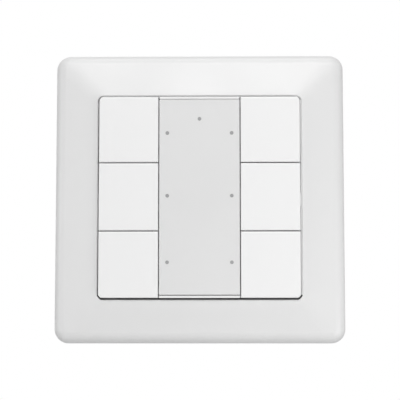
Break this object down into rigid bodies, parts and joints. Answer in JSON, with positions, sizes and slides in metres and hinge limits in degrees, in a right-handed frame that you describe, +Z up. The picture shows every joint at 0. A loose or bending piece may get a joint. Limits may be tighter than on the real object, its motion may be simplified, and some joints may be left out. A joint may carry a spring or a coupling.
{
  "type": "lighting push button",
  "caption": "Square wall push button for lighting: arched white frame, flat hinged keys in two columns, a grey label panel with light guides between them and a unit for the wall box behind.",
  "frame": {"origin": "on the wall's plane, midway between the two fixing slots", "axes": "+X to the right, +Z up, -Y out of the wall, towards the user"},
  "size_m": [0.086, 0.0333, 0.086],
  "materials": {
    "frame_white": "satin",
    "key_white": "satin",
    "panel_white": "satin",
    "label_grey": "fine metallic grey print",
    "clear_cover": "clear, satin",
    "clear_guide": "clear, unlit",
    "inner_grey": "moulded",
    "inner_white": "moulded",
    "housing_grey": "moulded, fine grain",
    "plated_steel": "zinc plated",
    "screw_steel": "plated",
    "board_green": "solder mask",
    "component_black": "moulded",
    "can_sleeve": "sleeve",
    "can_metal": "drawn metal",
    "pin_metal": "plated",
    "lamp_clear": "clear",
    "button_red": "moulded",
    "terminal_red": "moulded",
    "terminal_dark": "moulded"
  },
  "bodies": {
    "wall_unit": {"outer_frame": "frame_white", "label_carrier": "panel_white", "label_sheet": "label_grey", "label_cover": "clear_cover", "key_carrier": "inner_grey", "rear_shell": "inner_white", "support_plate": "plated_steel", "coupler_housing": "housing_grey", "coupler_lid": "housing_grey", "key_board": "board_green", "coupler_board": "board_green", "control_chip": "component_black", "transceiver_chip": "component_black", "choke": "component_black", "capacitors": "can_sleeve", "crystal": "can_metal", "link_socket": "component_black", "link_header": "component_black", "link_pins": "pin_metal", "terminal_pins": "pin_metal", "terminal_half_left": "terminal_red", "terminal_half_right": "terminal_dark", "module_screws": "screw_steel", "lid_screws": "screw_steel", "flange_screws": "screw_steel", "hinge_rod_left": "plated_steel", "hinge_rod_right": "plated_steel", "indicator_lamps": "lamp_clear", "programming_lamp": "button_red", "programming_switch": "component_black", "switch_left_top": "component_black", "switch_left_middle": "component_black", "switch_left_bottom": "component_black", "switch_right_top": "component_black", "switch_right_middle": "component_black", "switch_right_bottom": "component_black", "light_guide_left_top": "clear_guide", "light_guide_left_middle": "clear_guide", "light_guide_left_bottom": "clear_guide", "light_guide_right_top": "clear_guide", "light_guide_right_middle": "clear_guide", "light_guide_right_bottom": "clear_guide", "status_light_guide": "clear_guide"},
    "key_left_top": {"key_left_top": "key_white"},
    "key_left_middle": {"key_left_middle": "key_white"},
    "key_left_bottom": {"key_left_bottom": "key_white"},
    "key_right_top": {"key_right_top": "key_white"},
    "key_right_middle": {"key_right_middle": "key_white"},
    "key_right_bottom": {"key_right_bottom": "key_white"},
    "plunger_left_top": {"plunger_left_top": "inner_white"},
    "plunger_left_middle": {"plunger_left_middle": "inner_white"},
    "plunger_left_bottom": {"plunger_left_bottom": "inner_white"},
    "plunger_right_top": {"plunger_right_top": "inner_white"},
    "plunger_right_middle": {"plunger_right_middle": "inner_white"},
    "plunger_right_bottom": {"plunger_right_bottom": "inner_white"},
    "programming_button": {"programming_button": "button_red"}
  },
  "joints": [
    {"name": "key_left_top_hinge", "type": "hinge", "parent": "wall_unit", "child": "key_left_top", "pos_m": [-0.0134, -0.0074, 0.01997], "axis": [0, 0, -1], "range_deg": [0, 2], "stiffness_Nm_per_rad": 0.6},
    {"name": "key_left_middle_hinge", "type": "hinge", "parent": "wall_unit", "child": "key_left_middle", "pos_m": [-0.0134, -0.0074, 0], "axis": [0, 0, -1], "range_deg": [0, 2], "stiffness_Nm_per_rad": 0.6},
    {"name": "key_left_bottom_hinge", "type": "hinge", "parent": "wall_unit", "child": "key_left_bottom", "pos_m": [-0.0134, -0.0074, -0.01997], "axis": [0, 0, -1], "range_deg": [0, 2], "stiffness_Nm_per_rad": 0.6},
    {"name": "key_right_top_hinge", "type": "hinge", "parent": "wall_unit", "child": "key_right_top", "pos_m": [0.0134, -0.0074, 0.01997], "axis": [0, 0, 1], "range_deg": [0, 2], "stiffness_Nm_per_rad": 0.6},
    {"name": "key_right_middle_hinge", "type": "hinge", "parent": "wall_unit", "child": "key_right_middle", "pos_m": [0.0134, -0.0074, 0], "axis": [0, 0, 1], "range_deg": [0, 2], "stiffness_Nm_per_rad": 0.6},
    {"name": "key_right_bottom_hinge", "type": "hinge", "parent": "wall_unit", "child": "key_right_bottom", "pos_m": [0.0134, -0.0074, -0.01997], "axis": [0, 0, 1], "range_deg": [0, 2], "stiffness_Nm_per_rad": 0.6},
    {"name": "plunger_left_top_slide", "type": "slide", "parent": "wall_unit", "child": "plunger_left_top", "axis": [0, 1, 0], "range_m": [0, 0.00035]},
    {"name": "plunger_left_middle_slide", "type": "slide", "parent": "wall_unit", "child": "plunger_left_middle", "axis": [0, 1, 0], "range_m": [0, 0.00035]},
    {"name": "plunger_left_bottom_slide", "type": "slide", "parent": "wall_unit", "child": "plunger_left_bottom", "axis": [0, 1, 0], "range_m": [0, 0.00035]},
    {"name": "plunger_right_top_slide", "type": "slide", "parent": "wall_unit", "child": "plunger_right_top", "axis": [0, 1, 0], "range_m": [0, 0.00035]},
    {"name": "plunger_right_middle_slide", "type": "slide", "parent": "wall_unit", "child": "plunger_right_middle", "axis": [0, 1, 0], "range_m": [0, 0.00035]},
    {"name": "plunger_right_bottom_slide", "type": "slide", "parent": "wall_unit", "child": "plunger_right_bottom", "axis": [0, 1, 0], "range_m": [0, 0.00035]},
    {"name": "programming_button_slide", "type": "slide", "parent": "wall_unit", "child": "programming_button", "axis": [0, 1, 0], "range_m": [0, 0.00025], "stiffness_N_per_m": 6000}
  ],
  "couplings": [
    {"joint": "plunger_left_top_slide", "follows": "key_left_top_hinge", "m_per_rad": 0.0095},
    {"joint": "plunger_left_middle_slide", "follows": "key_left_middle_hinge", "m_per_rad": 0.0095},
    {"joint": "plunger_left_bottom_slide", "follows": "key_left_bottom_hinge", "m_per_rad": 0.0095},
    {"joint": "plunger_right_top_slide", "follows": "key_right_top_hinge", "m_per_rad": 0.0095},
    {"joint": "plunger_right_middle_slide", "follows": "key_right_middle_hinge", "m_per_rad": 0.0095},
    {"joint": "plunger_right_bottom_slide", "follows": "key_right_bottom_hinge", "m_per_rad": 0.0095}
  ]
}
